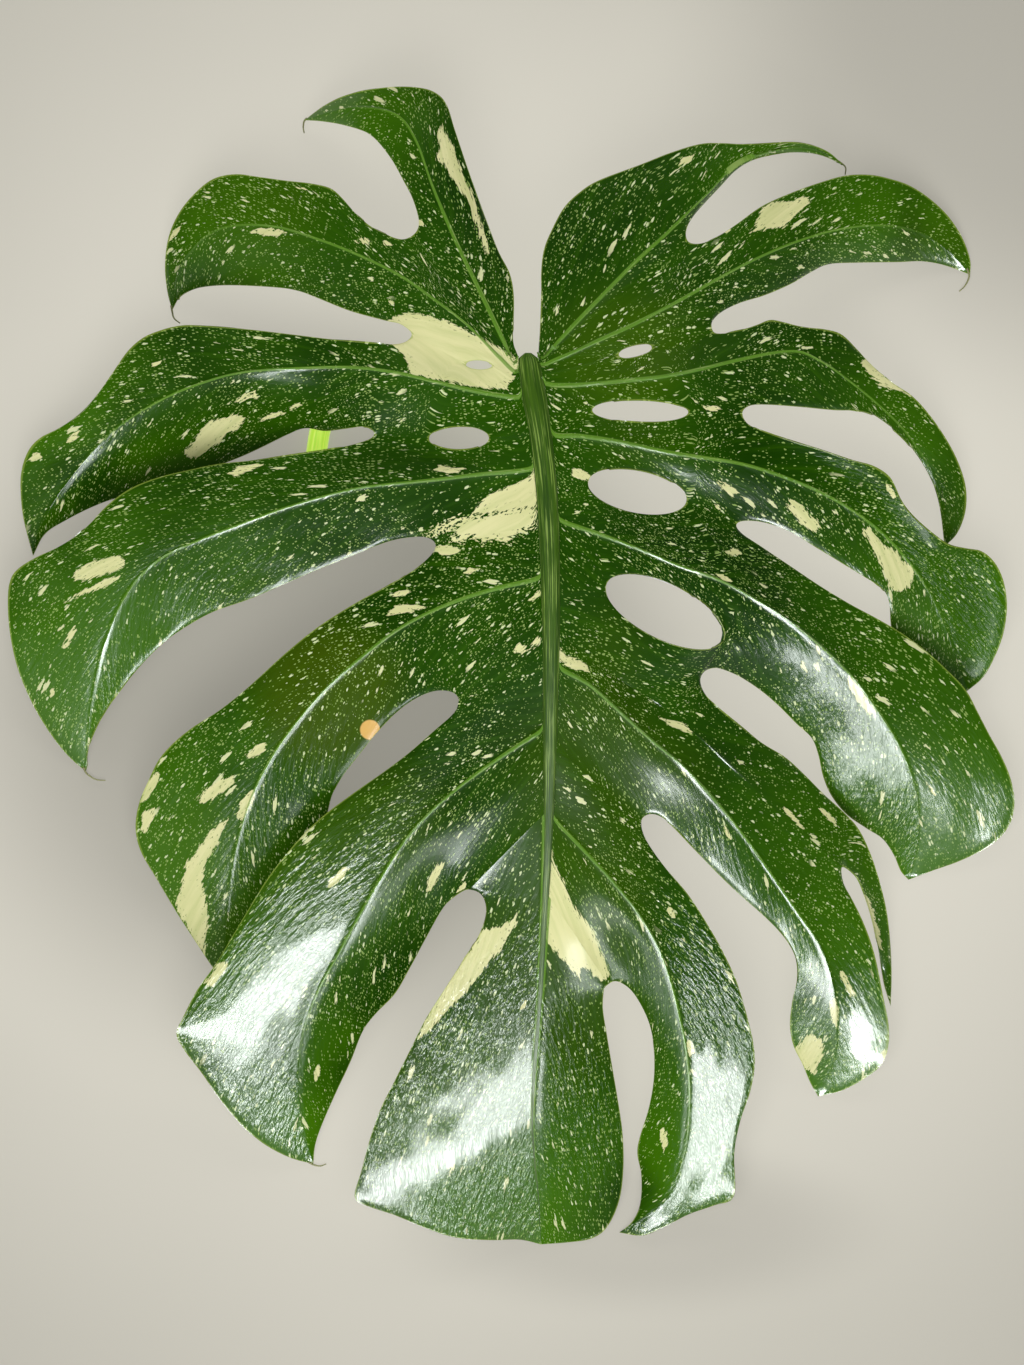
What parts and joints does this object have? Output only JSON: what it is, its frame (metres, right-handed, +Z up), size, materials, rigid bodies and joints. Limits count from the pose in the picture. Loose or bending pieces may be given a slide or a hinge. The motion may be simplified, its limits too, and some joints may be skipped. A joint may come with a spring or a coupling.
{
  "type": "monstera leaf",
  "caption": "Picked split leaf lying face up: a domed, folded blade with deep slots and holes beside the midrib, on its cut stalk, cream-speckled deep green.",
  "frame": {"origin": "bottom centre of the bounding box, on the surface that the leaf lies on", "axes": "+Z up off the surface, +Y from the leaf's tip towards its base along the midrib, +X to the right of the leaf seen from above with its base away from the viewer"},
  "size_m": [0.454, 0.5229, 0.0852],
  "materials": {
    "blade": "waxy deep green leaf skin with cream specks and splashes, satin to glossy",
    "stalk": "smooth yellow-green stalk"
  },
  "bodies": {
    "root": {"leaf_blade": "blade", "leaf_stalk": "stalk"}
  },
  "joints": []
}
